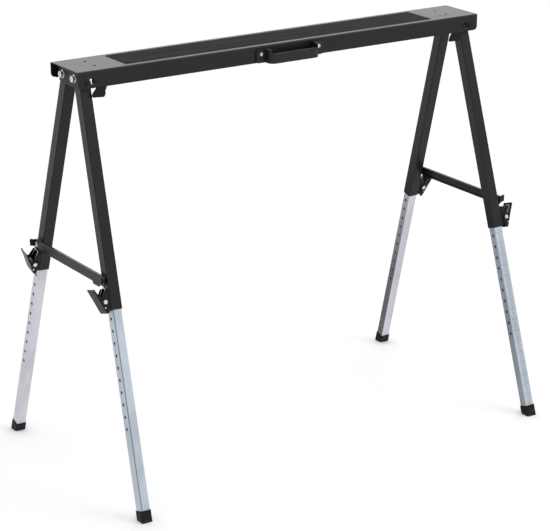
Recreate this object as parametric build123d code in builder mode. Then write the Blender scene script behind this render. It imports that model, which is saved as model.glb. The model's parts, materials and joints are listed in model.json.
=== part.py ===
# Folding sawhorse, in millimetres. X runs along the beam, Y across it and Z up.
# The origin is on the floor, under the middle of the beam.
#
# Each end carries a pair of telescopic legs on a bracket. The bracket turns on two stub rivets
# in the beam's skirts, the legs turn on bolts in the bracket, and a brace that hooks over a stud
# holds them apart. The pair at one end is the other pair turned half a turn about Z.
import os
from math import cos, radians, sin

from build123d import *

# ---------------------------------------------------------------- driving dimensions
# beam: a folded channel, open downwards
BEAM_LENGTH = 1000.0
BEAM_WIDTH = 116.0
FRONT_SKIRT = 35.3
BACK_SKIRT = 32.0
BEAM_SHEET = 1.5
BEAM_BEND = 3.0
SKIRT_CORNER = 9.0
WORK_HEIGHT = 880.0
TOP_HOLE_DIAMETER = 7.0
TOP_HOLE_SPACING = 40.0
TOP_HOLE_INSET = 58.5

# anti-slip mat
MAT_LENGTH = 766.0
MAT_WIDTH = 86.0
MAT_THICKNESS = 1.6

# carrying handle on the front skirt
HANDLE_LENGTH = 166.0
HANDLE_GRIP_LENGTH = 124.0
HANDLE_HEIGHT = 29.0
HANDLE_GRIP_HEIGHT = 21.0
HANDLE_REACH = 26.0
HANDLE_WALL = 5.0
HANDLE_LUG = 3.5
HANDLE_DROP = 6.5
HANDLE_BOW = 14.0
HANDLE_INNER_BOW = 9.0
HANDLE_LUG_CORNER = 5.0
SCREW_SPACING = 144.0
SCREW_DROP = 16.8
SCREW_DIAMETER = 4.0
SCREW_HEAD_HEIGHT = 2.4
SCREW_TAIL = 6.0
SCREW_CROSS = 4.4
SCREW_CROSS_WIDTH = 1.1
SCREW_CROSS_DEPTH = 1.2
SCREW_NUT_FLATS = 7.0
SCREW_NUT_HEIGHT = 3.2

# fold pivot of each leg pair, and the leg bracket
PIVOT_INSET = 20.5
PIVOT_DROP = 24.0
PIVOT_DIAMETER = 6.0
PIVOT_HEAD_DIAMETER = 11.0
PIVOT_HEAD_HEIGHT = 2.2
PIVOT_TAIL_DIAMETER = 9.0
PIVOT_TAIL_HEIGHT = 1.2
BRACKET_SHEET = 1.5
BRACKET_LOBE = 9.0
END_PLATE_THICKNESS = 2.0
END_PLATE_WIDTH = 82.0
END_PLATE_HANG = 14.0
END_PLATE_CORNER = 10.0
BRACKET_STRIP = 9.0
BRACKET_TOP_GAP = 1.3
BRACKET_EDGE = 1.2
BRACKET_HOLE_DIAMETER = 3.6

# legs
SPLAY_ANGLE = 1.7
LEG_ANGLE = 16.7
LEG_SPACING = 50.0
LEG_INBOARD = 4.5
BOLT_RISE = 4.0
BOLT_DIAMETER = 8.0
BOLT_HEAD_DIAMETER = 11.0
BOLT_HEAD_HEIGHT = 1.8
BOLT_PROUD = 0.6
PIN_CHAMFER = 0.8
NUT_FLATS = 13.0
NUT_HEIGHT = 7.0
NUT_FLANGE_DIAMETER = 17.0
NUT_FLANGE_HEIGHT = 1.5
UPPER_TUBE = 25.0
UPPER_WALL = 1.5
UPPER_CORNER = 2.5
UPPER_LENGTH = 466.2
LEG_TOP = 7.0
LEG_TOP_CHAMFER = 5.0
LOWER_TUBE = 21.0
LOWER_WALL = 1.2
LOWER_CORNER = 1.5
LOWER_OVERLAP = 48.0
HOLE_PITCH = 25.0
HOLE_COUNT = 11
HOLE_DIAMETER = 7.0
CAP_HEIGHT = 21.7
CAP_WALL = 1.45
CAP_FLOOR = 8.0
PLUG_LENGTH = 14.0
PLUG_FLANGE = 2.0

# leg lock: bracket, lever, rivet, index pin and spring
LOCK_PIN_HEIGHT = 7.0
LOCK_PIN_DIAMETER = 6.0
LOCK_PIN_LENGTH = 17.0
CROSS_PIN_DIAMETER = 3.0
CROSS_PIN_OUT = 26.4
LOCK_PIVOT_OUT = 24.7
LOCK_PIVOT_HEIGHT = 18.5
LOCK_RIVET_DIAMETER = 5.0
LOCK_RIVET_HEAD = 9.0
LOCK_BRACKET_WIDTH = 24.0
LOCK_SHEET = 1.5
LOCK_BASE = 2.0
LOCK_BRACKET_TOP = 44.0
LOCK_HEAD_HEIGHT = 1.8
LOCK_HEAD_GAP = 0.25
CROSS_PIN_PROUD = 1.2
SPRING_WIRE = 1.4
SPRING_RADIUS = 4.2
SPRING_SPREAD = 5.5
SPRING_LEAN = 3.0
# side of the lock bracket's cheek, out from the leg and up from the upper tube's end
LOCK_CHEEK = [(20.0, 1.0), (21.0, 12.0), (29.5, 13.5), (30.5, 25.0)]
# side of the lever: its back, which is also the handle, and the front edge of its cheeks
LEVER_BACK = [(48.5, 46.5), (33.8, 15.0), (29.3, 4.0), (24.5, -5.0)]
LEVER_FRONT = [(18.0, -3.5), (17.0, 10.0), (18.5, 24.0), (28.0, 27.0), (36.0, 31.0), (45.5, 47.0)]

# brace across each pair
BRACE_RISE = 60.5
BRACE_HEIGHT = 20.0
BRACE_SHEET = 1.5
BRACE_STANDOFF = 5.8
BRACE_FLANGE_GAP = 1.9
BRACE_END = 10.0
BRACE_LIP_DROP = 5.5
BRACE_LIP_LENGTH = 29.0
BRACE_LIP_INSET = 22.5
BRACE_LIP_CORNER = 4.0
BRACE_CORNER = 3.0
BRACE_HOOK_LEAD = 10.0
STUD_DIAMETER = 6.0
STUD_SHOULDER_DIAMETER = 10.0
STUD_HEAD_DIAMETER = 11.0
STUD_HEAD_HEIGHT = 2.0
STUD_HEAD_ROUND = 1.4
TAB_REACH = 12.7

# catch lever inside the front skirt, one at each end
CATCH_SHEET = 2.0
CATCH_PIVOT_INSET = 39.0
CATCH_PIVOT_DROP = 22.0
CATCH_RIVET_DIAMETER = 4.0
CATCH_HEAD_DIAMETER = 6.4
CATCH_HEAD_HEIGHT = 1.6
CATCH_TAIL_DIAMETER = 6.8
CATCH_TAIL_HEIGHT = 1.0
CATCH_CORNER = 1.5
CATCH_SPRING_GAP = 0.6
CATCH_SPRING_ARM = 5.0
CATCH_SPRING_FOOT = 13.0
CATCH_WIRE = 1.6
CATCH_BEAD_RADIUS = 1.3
CATCH_BEAD_LENGTH = 18.0
# outlines of the two catches from their rivets, X and Z
CATCH_OUTLINES = {
    "left": [
        (-5.5, -3.0), (-5.0, 4.5), (0.0, 5.5), (6.0, 5.0), (27.0, 3.0), (30.5, -9.0),
        (24.0, -23.5), (24.8, -30.0), (20.5, -35.6), (-3.5, -33.8), (-6.2, -31.5),
        (-5.0, -26.0), (4.0, -15.5), (0.0, -8.0),
    ],
    "right": [
        (5.5, -3.0), (5.0, 4.5), (0.0, 5.5), (-6.0, 5.0), (-25.0, 3.0), (-27.0, -12.0),
        (-33.5, -24.0), (-35.6, -29.5), (-34.3, -32.7), (-6.0, -33.0), (-3.3, -30.0),
        (-4.5, -22.0), (-2.0, -15.5), (0.0, -8.0),
    ],
}
CATCH_BEAD = {"left": (0.0, -31.5), "right": (-29.0, -24.5)}
# window over the catch spring, outwards from the rivet and up
WINDOW = [(2.0, 6.0), (12.5, 6.0), (8.0, -7.0)]

# clearances
RUNNING = 0.08      # radial, pin in a bore
SLIDING = 0.3       # between neighbours that pass each other
PINCH = 0.5         # between a leg and the plate that it is bolted to
SEAT = 0.05         # radial, parts that are fixed in each other
CATCH_GAP = 0.2     # beside a catch, between its rivet's tail and the bracket's flange

# ---------------------------------------------------------------- derived sizes
HALF_LENGTH = BEAM_LENGTH / 2
HALF_WIDTH = BEAM_WIDTH / 2
SKIRT_INSIDE = HALF_WIDTH - BEAM_SHEET
PIVOT_X = HALF_LENGTH - PIVOT_INSET
PIVOT_Z = WORK_HEIGHT - PIVOT_DROP
FLANGE_OUTSIDE = SKIRT_INSIDE - SLIDING
FLANGE_INSIDE = FLANGE_OUTSIDE - BRACKET_SHEET
PIVOT_TAIL_IN = FLANGE_INSIDE - SLIDING - PIVOT_TAIL_HEIGHT
BRACKET_TOP = PIVOT_DROP - BEAM_SHEET - BRACKET_TOP_GAP
SIN_SPLAY, COS_SPLAY = sin(radians(SPLAY_ANGLE)), cos(radians(SPLAY_ANGLE))
SIN_LEG, COS_LEG = sin(radians(LEG_ANGLE)), cos(radians(LEG_ANGLE))
BOLT_Z = PIVOT_Z + BOLT_RISE * COS_SPLAY - LEG_INBOARD * SIN_SPLAY
LEG_REACH = BOLT_Z / (COS_LEG * COS_SPLAY)
LEG_FACE = UPPER_TUBE / 2
PLATE_IN = LEG_FACE - LEG_INBOARD + PINCH
PLATE_OUT = PLATE_IN + END_PLATE_THICKNESS
BRACE_FROM_BOLT = UPPER_LENGTH - BRACE_RISE
BRACE_V = LEG_SPACING / 2 + BRACE_FROM_BOLT * SIN_LEG
BRACE_W = BOLT_RISE - BRACE_FROM_BOLT * COS_LEG
WEB_IN = LEG_FACE + BRACE_STANDOFF
WEB_OUT = WEB_IN + BRACE_SHEET
CHEEK_OUT = LOCK_BRACKET_WIDTH / 2
LEVER_IN = CHEEK_OUT + SLIDING
LEVER_OUT = LEVER_IN + LOCK_SHEET
CATCH_OUTSIDE = FLANGE_INSIDE - SLIDING - CATCH_GAP
CATCH_X = HALF_LENGTH - CATCH_PIVOT_INSET
CATCH_Z = WORK_HEIGHT - CATCH_PIVOT_DROP
FRONT = -1
BACK = 1
ENDS = {"left": -1, "right": 1}

os.makedirs("parts", exist_ok=True)


def keep(piece, node, place=Location()):
    """Put a finished piece in its place, label it and write its STEP file."""
    placed = piece.moved(place)
    placed.label = node
    export_step(placed, f"parts/{node}.step")
    return placed


def pair_frame(end):
    """Frame of a leg pair: origin on the fold axis, X outwards, Z up in the legs' plane."""
    return Plane(
        origin=(end * PIVOT_X, 0, PIVOT_Z),
        x_dir=(end * COS_SPLAY, 0, SIN_SPLAY),
        z_dir=(-end * SIN_SPLAY, 0, COS_SPLAY),
    ).location


def leg_frame(end, side):
    """Frame of a leg: origin on its bolt, X outwards, Z up along the leg."""
    in_pair = Plane(
        origin=(-LEG_INBOARD, side * LEG_SPACING / 2, BOLT_RISE),
        x_dir=(1, 0, 0),
        z_dir=(0, -side * SIN_LEG, COS_LEG),
    )
    return pair_frame(end) * in_pair.location


# ---------------------------------------------------------------- beam
def make_beam():
    half = HALF_WIDTH
    top = WORK_HEIGHT
    inside_top = top - BEAM_SHEET
    front_bottom = top - FRONT_SKIRT
    back_bottom = top - BACK_SKIRT
    with BuildPart() as beam:
        with BuildSketch(Plane.YZ.offset(-HALF_LENGTH)):
            with BuildLine():
                Polyline(
                    (-half, front_bottom), (-half, top), (half, top), (half, back_bottom),
                    (SKIRT_INSIDE, back_bottom), (SKIRT_INSIDE, inside_top),
                    (-SKIRT_INSIDE, inside_top), (-SKIRT_INSIDE, front_bottom),
                    close=True,
                )
            make_face()
        extrude(amount=BEAM_LENGTH)
        long_edges = beam.edges().filter_by(Axis.X)
        fillet(long_edges.filter_by(lambda e: e.center().Z > top - 0.1), BEAM_BEND)
        inner = beam.edges().filter_by(Axis.X).filter_by(
            lambda e: abs(e.center().Z - inside_top) < 0.1
            and abs(abs(e.center().Y) - SKIRT_INSIDE) < 0.1
        )
        fillet(inner, BEAM_BEND - BEAM_SHEET)
        corners = beam.edges().filter_by(Axis.Y).filter_by(
            lambda e: e.center().Z < back_bottom + 0.1
        )
        fillet(corners, SKIRT_CORNER)
        with Locations(Plane.XY.offset(WORK_HEIGHT)):
            with GridLocations(2 * (HALF_LENGTH - TOP_HOLE_INSET), TOP_HOLE_SPACING, 2, 2):
                Hole(TOP_HOLE_DIAMETER / 2, BEAM_SHEET + 1)
        with BuildSketch(Plane.XZ.offset(-HALF_WIDTH - 1)):
            with Locations((-PIVOT_X, PIVOT_Z), (PIVOT_X, PIVOT_Z)):
                Circle(PIVOT_DIAMETER / 2 + SEAT)
        extrude(amount=BEAM_WIDTH + 2, mode=Mode.SUBTRACT)
        with BuildSketch(Plane.XZ.offset(SKIRT_INSIDE - 1)):
            with Locations((-CATCH_X, CATCH_Z), (CATCH_X, CATCH_Z)):
                Circle(CATCH_RIVET_DIAMETER / 2 + SEAT)
            with Locations((-SCREW_SPACING / 2, WORK_HEIGHT - SCREW_DROP),
                           (SCREW_SPACING / 2, WORK_HEIGHT - SCREW_DROP)):
                Circle(SCREW_DIAMETER / 2 + SEAT)
            for end in ENDS.values():
                with BuildLine():
                    Polyline(*[(end * (CATCH_X + x), CATCH_Z + z) for x, z in WINDOW],
                             close=True)
                make_face()
        extrude(amount=BEAM_SHEET + 2, mode=Mode.SUBTRACT)
    keep(beam.part, "beam")


def make_mat():
    with BuildPart() as mat:
        with BuildSketch(Plane.XY.offset(WORK_HEIGHT)):
            RectangleRounded(MAT_LENGTH, MAT_WIDTH, 1.5)
        extrude(amount=MAT_THICKNESS)
    keep(mat.part, "anti_slip_mat")


def make_handle():
    """Bow handle: a grip bar on two curved arms, with a lug for a screw at each end."""
    skirt = -HALF_WIDTH
    top = WORK_HEIGHT - HANDLE_DROP
    with BuildPart() as handle:
        with BuildSketch(Plane.XY.offset(top - HANDLE_HEIGHT)):
            with Locations((0, skirt - HANDLE_LUG / 2)):
                Rectangle(HANDLE_LENGTH, HANDLE_LUG)
            with Locations((0, skirt - HANDLE_REACH / 2)):
                Rectangle(HANDLE_GRIP_LENGTH, HANDLE_REACH)
        extrude(amount=HANDLE_HEIGHT)
        bow = handle.edges().filter_by(Axis.Z).filter_by(
            lambda e: e.center().Y < skirt - HANDLE_REACH + 0.1
        )
        fillet(bow, HANDLE_BOW)
        lug_corners = handle.edges().filter_by(Axis.Y).filter_by(
            lambda e: abs(e.center().X) > HANDLE_LENGTH / 2 - 0.1
        )
        fillet(lug_corners, HANDLE_LUG_CORNER)
        with BuildSketch(Plane.XY.offset(top - HANDLE_HEIGHT - 1)):
            with Locations((0, skirt - (HANDLE_REACH - HANDLE_WALL) / 2)):
                RectangleRounded(HANDLE_GRIP_LENGTH - 2 * HANDLE_WALL,
                                 HANDLE_REACH - HANDLE_WALL, HANDLE_INNER_BOW)
            with Locations((0, skirt - (HANDLE_REACH - HANDLE_WALL) / 4)):
                Rectangle(HANDLE_GRIP_LENGTH - 2 * HANDLE_WALL,
                          (HANDLE_REACH - HANDLE_WALL) / 2)
        extrude(amount=HANDLE_HEIGHT + 2, mode=Mode.SUBTRACT)
        with BuildSketch(Plane.XZ.offset(-skirt + HANDLE_WALL)):
            with Locations((0, top - HANDLE_HEIGHT + HANDLE_GRIP_HEIGHT + 10)):
                Rectangle(HANDLE_GRIP_LENGTH - 2 * HANDLE_WALL, 20)
        extrude(amount=HANDLE_REACH, mode=Mode.SUBTRACT)
        with BuildSketch(Plane.XZ.offset(-skirt - 1)):
            with Locations((-SCREW_SPACING / 2, WORK_HEIGHT - SCREW_DROP),
                           (SCREW_SPACING / 2, WORK_HEIGHT - SCREW_DROP)):
                Circle(SCREW_DIAMETER / 2 + SEAT)
        extrude(amount=HANDLE_LUG + 2, mode=Mode.SUBTRACT)
    keep(handle.part, "carry_handle")


def make_handle_screws():
    spots = [(x * SCREW_SPACING / 2, WORK_HEIGHT - SCREW_DROP) for x in (-1, 1)]
    lug_face = HALF_WIDTH + HANDLE_LUG
    with BuildPart() as screws:
        with BuildSketch(Plane.XZ.offset(SKIRT_INSIDE - SCREW_TAIL)):
            with Locations(*spots):
                Circle(SCREW_DIAMETER / 2)
        extrude(amount=lug_face - SKIRT_INSIDE + SCREW_TAIL)
        with BuildSketch(Plane.XZ.offset(lug_face)):
            with Locations(*spots):
                Circle(SCREW_DIAMETER)
        extrude(amount=SCREW_HEAD_HEIGHT)
        rims = screws.edges().filter_by(GeomType.CIRCLE).filter_by(
            lambda e: e.center().Y < -lug_face - SCREW_HEAD_HEIGHT + 0.1
        )
        fillet(rims, SCREW_HEAD_HEIGHT / 2)
        with BuildSketch(Plane.XZ.offset(lug_face + SCREW_HEAD_HEIGHT - SCREW_CROSS_DEPTH)):
            with Locations(*spots):
                Rectangle(SCREW_CROSS, SCREW_CROSS_WIDTH)
                Rectangle(SCREW_CROSS_WIDTH, SCREW_CROSS)
        extrude(amount=2, mode=Mode.SUBTRACT)
    keep(screws.part, "handle_screws")
    with BuildPart() as nuts:
        with BuildSketch(Plane.XZ.offset(SKIRT_INSIDE - SCREW_NUT_HEIGHT)):
            with Locations(*spots):
                RegularPolygon(SCREW_NUT_FLATS / 2, 6, major_radius=False)
            with Locations(*spots):
                Circle(SCREW_DIAMETER / 2 + SEAT, mode=Mode.SUBTRACT)
        extrude(amount=SCREW_NUT_HEIGHT)
    keep(nuts.part, "handle_nuts")


def make_fold_rivets():
    """Four stub rivets that the two leg brackets turn on."""
    with BuildPart() as rivets:
        for end in ENDS.values():
            for side in (FRONT, BACK):
                face = Plane(
                    origin=(end * PIVOT_X, side * PIVOT_TAIL_IN, PIVOT_Z),
                    x_dir=(1, 0, 0),
                    z_dir=(0, side, 0),
                )
                shank = HALF_WIDTH - PIVOT_TAIL_IN
                with BuildSketch(face):
                    Circle(PIVOT_DIAMETER / 2)
                extrude(amount=shank)
                with BuildSketch(face):
                    Circle(PIVOT_TAIL_DIAMETER / 2)
                extrude(amount=PIVOT_TAIL_HEIGHT)
                with BuildSketch(face.offset(shank)):
                    Circle(PIVOT_HEAD_DIAMETER / 2)
                extrude(amount=PIVOT_HEAD_HEIGHT)
        heads = rivets.edges().filter_by(GeomType.CIRCLE).filter_by(
            lambda e: abs(e.center().Y) > HALF_WIDTH + PIVOT_HEAD_HEIGHT - 0.1
        )
        fillet(heads, PIVOT_HEAD_HEIGHT * 0.8)
    keep(rivets.part, "fold_rivets")


# ---------------------------------------------------------------- catch levers
def make_catch(name, end):
    """Catch lever: a plate on a rivet, with a finger tab that hangs below the skirt."""
    with BuildPart() as catch:
        with BuildSketch(Plane.XZ.offset(CATCH_OUTSIDE - CATCH_SHEET)) as outline:
            with BuildLine():
                Polyline(*[(end * CATCH_X + x, CATCH_Z + z) for x, z in CATCH_OUTLINES[name]],
                         close=True)
            make_face()
            fillet(outline.vertices(), CATCH_CORNER)
            with Locations((end * CATCH_X, CATCH_Z)):
                Circle(CATCH_RIVET_DIAMETER / 2 + RUNNING, mode=Mode.SUBTRACT)
        extrude(amount=CATCH_SHEET)
        tab_x, tab_z = CATCH_BEAD[name]
        bead = Plane(origin=(end * CATCH_X + tab_x, -CATCH_OUTSIDE, CATCH_Z + tab_z),
                     x_dir=(0, 1, 0), z_dir=(1, 0, 0.12))
        with BuildSketch(bead):
            Circle(CATCH_BEAD_RADIUS)
        extrude(amount=CATCH_BEAD_LENGTH)
    keep(catch.part, f"{name}_catch")

    spring_mid = (CATCH_OUTSIDE + SKIRT_INSIDE) / 2
    coil_radius = CATCH_RIVET_DIAMETER / 2 + CATCH_WIRE / 2 + CATCH_SPRING_GAP
    with BuildPart() as spring:
        with BuildSketch(Plane.XZ.offset(spring_mid - CATCH_WIRE / 2)):
            with Locations((end * CATCH_X, CATCH_Z)):
                Circle(coil_radius + CATCH_WIRE / 2)
                Circle(coil_radius - CATCH_WIRE / 2, mode=Mode.SUBTRACT)
            with Locations(Location((end * (CATCH_X + coil_radius + 1.8), CATCH_Z - 1.2, 0),
                                    (0, 0, end * 20))):
                Rectangle(CATCH_SPRING_ARM, CATCH_WIRE)
            with Locations(Location((end * (CATCH_X - 6.0), CATCH_Z - coil_radius, 0))):
                Rectangle(CATCH_SPRING_FOOT, CATCH_WIRE)
        extrude(amount=CATCH_WIRE)
    keep(spring.part, f"{name}_catch_spring")


def make_catch_rivets():
    spots = [(end * CATCH_X, CATCH_Z) for end in ENDS.values()]
    tail = CATCH_OUTSIDE - CATCH_SHEET - CATCH_GAP
    with BuildPart() as rivets:
        with BuildSketch(Plane.XZ.offset(tail - CATCH_TAIL_HEIGHT)):
            with Locations(*spots):
                Circle(CATCH_TAIL_DIAMETER / 2)
        extrude(amount=CATCH_TAIL_HEIGHT)
        with BuildSketch(Plane.XZ.offset(tail)):
            with Locations(*spots):
                Circle(CATCH_RIVET_DIAMETER / 2)
        extrude(amount=HALF_WIDTH - tail)
        with BuildSketch(Plane.XZ.offset(HALF_WIDTH)):
            with Locations(*spots):
                Circle(CATCH_HEAD_DIAMETER / 2)
        extrude(amount=CATCH_HEAD_HEIGHT)
        heads = rivets.edges().filter_by(GeomType.CIRCLE).filter_by(
            lambda e: e.center().Y < -HALF_WIDTH - CATCH_HEAD_HEIGHT + 0.1
        )
        fillet(heads, CATCH_HEAD_HEIGHT * 0.75)
    keep(rivets.part, "catch_rivets")


# ---------------------------------------------------------------- leg pair
def bracket_flange_outline():
    lobe = BRACKET_LOBE
    top = BRACKET_TOP
    return [(PLATE_OUT, top), (0, top), (-lobe, 0), (-lobe * 0.7, -lobe * 0.7),
            (0, -lobe), (PLATE_OUT, -lobe)]


def make_leg_bracket(name, place):
    """Folded sheet: an end plate for the two leg bolts, a top web and two pivot flanges."""
    top = BRACKET_TOP
    with BuildPart() as bracket:
        with BuildSketch(Plane.YZ.offset(PLATE_IN)) as plate:
            with Locations((0, (top - END_PLATE_HANG) / 2)):
                Rectangle(END_PLATE_WIDTH, top + END_PLATE_HANG)
            fillet(plate.vertices().group_by(Axis.Y)[0], END_PLATE_CORNER)
            with Locations((0, top - BRACKET_STRIP / 2)):
                Rectangle(2 * FLANGE_OUTSIDE, BRACKET_STRIP)
            with Locations((-LEG_SPACING / 2, BOLT_RISE), (LEG_SPACING / 2, BOLT_RISE)):
                Circle(BOLT_DIAMETER / 2 + SEAT, mode=Mode.SUBTRACT)
            with Locations((-5, BOLT_RISE + 7)):
                Circle(BRACKET_HOLE_DIAMETER / 2, mode=Mode.SUBTRACT)
        extrude(amount=END_PLATE_THICKNESS)
        with Locations((PLATE_OUT / 2, 0, top - BRACKET_SHEET / 2)):
            Box(PLATE_OUT, 2 * FLANGE_OUTSIDE, BRACKET_SHEET)
        for side in (FRONT, BACK):
            inner = Plane(origin=(0, side * FLANGE_INSIDE, 0), x_dir=(1, 0, 0),
                          z_dir=(0, side, 0))
            with BuildSketch(inner) as flange:
                with BuildLine():
                    Polyline(*[(x, -side * z) for x, z in bracket_flange_outline()],
                             close=True)
                make_face()
                Circle(PIVOT_DIAMETER / 2 + RUNNING, mode=Mode.SUBTRACT)
            extrude(amount=BRACKET_SHEET)
        edges = bracket.edges().filter_by(Axis.Y).filter_by(
            lambda e: e.center().X > PLATE_OUT - 0.1 and e.center().Z > top - 0.1
        )
        fillet(edges, BRACKET_EDGE)
    keep(bracket.part, f"{name}_leg_bracket", place)


def make_leg_bolts(name, place):
    spots = [(side * LEG_SPACING / 2, BOLT_RISE) for side in (FRONT, BACK)]
    inner_face = -LEG_INBOARD - LEG_FACE - SLIDING
    tip = PLATE_OUT + NUT_HEIGHT + BOLT_PROUD
    with BuildPart() as bolts:
        with BuildSketch(Plane.YZ.offset(inner_face - BOLT_HEAD_HEIGHT)):
            with Locations(*spots):
                Circle(BOLT_HEAD_DIAMETER / 2)
        extrude(amount=BOLT_HEAD_HEIGHT)
        with BuildSketch(Plane.YZ.offset(inner_face)):
            with Locations(*spots):
                Circle(BOLT_DIAMETER / 2)
        extrude(amount=tip - inner_face)
        tips = bolts.edges().filter_by(GeomType.CIRCLE).filter_by(
            lambda e: e.center().X > tip - 0.1
        )
        chamfer(tips, PIN_CHAMFER)
    keep(bolts.part, f"{name}_leg_bolts", place)

    with BuildPart() as nuts:
        with BuildSketch(Plane.YZ.offset(PLATE_OUT)):
            with Locations(*spots):
                Circle(NUT_FLANGE_DIAMETER / 2)
        extrude(amount=NUT_FLANGE_HEIGHT)
        with BuildSketch(Plane.YZ.offset(PLATE_OUT + NUT_FLANGE_HEIGHT)):
            with Locations(*spots):
                RegularPolygon(NUT_FLATS / 2, 6, major_radius=False)
        extrude(amount=NUT_HEIGHT - NUT_FLANGE_HEIGHT)
        with BuildSketch(Plane.YZ.offset(PLATE_OUT)):
            with Locations(*spots):
                Circle(BOLT_DIAMETER / 2 + SEAT)
        extrude(amount=NUT_HEIGHT, mode=Mode.SUBTRACT)
    keep(nuts.part, f"{name}_leg_nuts", place)


def make_brace(name, place):
    """Channel across the pair: pivots on the leg at +Y and hooks over a stud at -Y."""
    web_u = WEB_IN - LEG_INBOARD
    flange_u = LEG_FACE + BRACE_FLANGE_GAP - LEG_INBOARD
    depth = web_u + BRACE_SHEET - flange_u
    half = BRACE_HEIGHT / 2
    length = 2 * BRACE_V + 2 * BRACE_END
    gap = STUD_DIAMETER / 2 + SLIDING + 0.4
    with BuildPart() as brace:
        with Locations((flange_u + depth / 2, 0, BRACE_W)):
            Box(depth, length, BRACE_HEIGHT)
        with Locations((flange_u + (depth - BRACE_SHEET) / 2, 0, BRACE_W)):
            Box(depth - BRACE_SHEET, length, BRACE_HEIGHT - 2 * BRACE_SHEET,
                mode=Mode.SUBTRACT)
        ends = brace.edges().filter_by(Axis.X).filter_by(
            lambda e: abs(e.center().Y) > length / 2 - 0.1 and abs(e.center().Z - BRACE_W) > half - 1
        )
        fillet(ends, BRACE_CORNER)
        # lip under the pivot end
        with BuildSketch(Plane.YZ.offset(web_u)) as lip:
            with Locations((BRACE_V - BRACE_LIP_INSET, BRACE_W - half)):
                Rectangle(BRACE_LIP_LENGTH, 2 * BRACE_LIP_DROP)
            fillet(lip.vertices().group_by(Axis.Y)[0], BRACE_LIP_CORNER)
        extrude(amount=BRACE_SHEET)
        with BuildSketch(Plane.YZ.offset(web_u)):
            with Locations((BRACE_V, BRACE_W)):
                Circle(STUD_DIAMETER / 2 + RUNNING)
        extrude(amount=BRACE_SHEET, mode=Mode.SUBTRACT)
        # the flanges stop short of the shouldered studs
        for centre in (-BRACE_V, BRACE_V):
            with Locations((flange_u + (depth - BRACE_SHEET) / 2, centre, BRACE_W - half)):
                Box(depth - BRACE_SHEET, 2 * STUD_HEAD_DIAMETER, 2 * BRACE_SHEET,
                    mode=Mode.SUBTRACT)
        # hook: a slot round the stud that opens downwards and towards the pivot
        with BuildSketch(Plane.YZ.offset(flange_u)):
            with Locations((-BRACE_V, BRACE_W)):
                Circle(gap)
            with BuildLine():
                Polyline(
                    (-BRACE_V - gap, BRACE_W),
                    (-BRACE_V + gap, BRACE_W),
                    (-BRACE_V + gap + BRACE_HOOK_LEAD, BRACE_W - half - 1),
                    (-BRACE_V - gap, BRACE_W - half - 1),
                    close=True,
                )
            make_face()
        extrude(amount=depth, mode=Mode.SUBTRACT)
        # finger tab bent outwards at the hook end
        tab_end = -length / 2
        with BuildSketch(Plane.XZ.offset(-tab_end - BRACE_SHEET)) as tab:
            with BuildLine():
                Polyline(
                    (web_u, BRACE_W - 6.5),
                    (web_u + TAB_REACH - 1, BRACE_W - 4.0),
                    (web_u + TAB_REACH, BRACE_W + half),
                    (web_u + TAB_REACH - 4, BRACE_W + half + 0.8),
                    (web_u, BRACE_W + half - 2.5),
                    close=True,
                )
            make_face()
            fillet(tab.vertices().group_by(Axis.X)[-1], 2)
        extrude(amount=BRACE_SHEET)
    keep(brace.part, f"{name}_brace", place)


def make_stud(node, place):
    """Shouldered stud on a leg's outer face, under the brace."""
    with BuildPart() as stud:
        with BuildSketch(Plane.YZ.offset(LEG_FACE)):
            with Locations((0, -BRACE_FROM_BOLT)):
                Circle(STUD_SHOULDER_DIAMETER / 2)
        extrude(amount=BRACE_STANDOFF - SLIDING)
        with BuildSketch(Plane.YZ.offset(LEG_FACE)):
            with Locations((0, -BRACE_FROM_BOLT)):
                Circle(STUD_DIAMETER / 2)
        extrude(amount=BRACE_STANDOFF + BRACE_SHEET + SLIDING)
        with BuildSketch(Plane.YZ.offset(WEB_OUT + SLIDING)):
            with Locations((0, -BRACE_FROM_BOLT)):
                Circle(STUD_HEAD_DIAMETER / 2)
        extrude(amount=STUD_HEAD_HEIGHT)
        rim = stud.edges().filter_by(GeomType.CIRCLE).sort_by(Axis.X)[-1]
        fillet(rim, STUD_HEAD_ROUND)
    keep(stud.part, node, place)


# ---------------------------------------------------------------- legs
def square_tube(outer, wall, corner, bottom, top):
    """Profile solid of a square tube along Z, from bottom to top."""
    with BuildPart() as tube:
        with BuildSketch(Plane.XY.offset(bottom)):
            RectangleRounded(outer, outer, corner)
            RectangleRounded(outer - 2 * wall, outer - 2 * wall, corner - wall * 0.6,
                             mode=Mode.SUBTRACT)
        extrude(amount=top - bottom)
    return tube.part


def make_upper_leg(node, place):
    with BuildPart() as leg:
        add(square_tube(UPPER_TUBE, UPPER_WALL, UPPER_CORNER, -UPPER_LENGTH, LEG_TOP))
        with BuildSketch(Plane.YZ.offset(-LEG_FACE - 1)):
            for side in (FRONT, BACK):
                with BuildLine():
                    Polyline(
                        (side * (LEG_FACE + 1), LEG_TOP - LEG_TOP_CHAMFER - 1),
                        (side * (LEG_FACE + 1), LEG_TOP + 1),
                        (side * (LEG_FACE - LEG_TOP_CHAMFER - 1), LEG_TOP + 1),
                        close=True,
                    )
                make_face()
            Circle(BOLT_DIAMETER / 2 + RUNNING)
        extrude(amount=UPPER_TUBE + 2, mode=Mode.SUBTRACT)
        with BuildSketch(Plane.YZ):
            with Locations((0, LOCK_PIN_HEIGHT - UPPER_LENGTH)):
                Circle(LOCK_PIN_DIAMETER / 2 + SLIDING)
        extrude(amount=UPPER_TUBE, mode=Mode.SUBTRACT)
    keep(leg.part, node, place)


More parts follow.
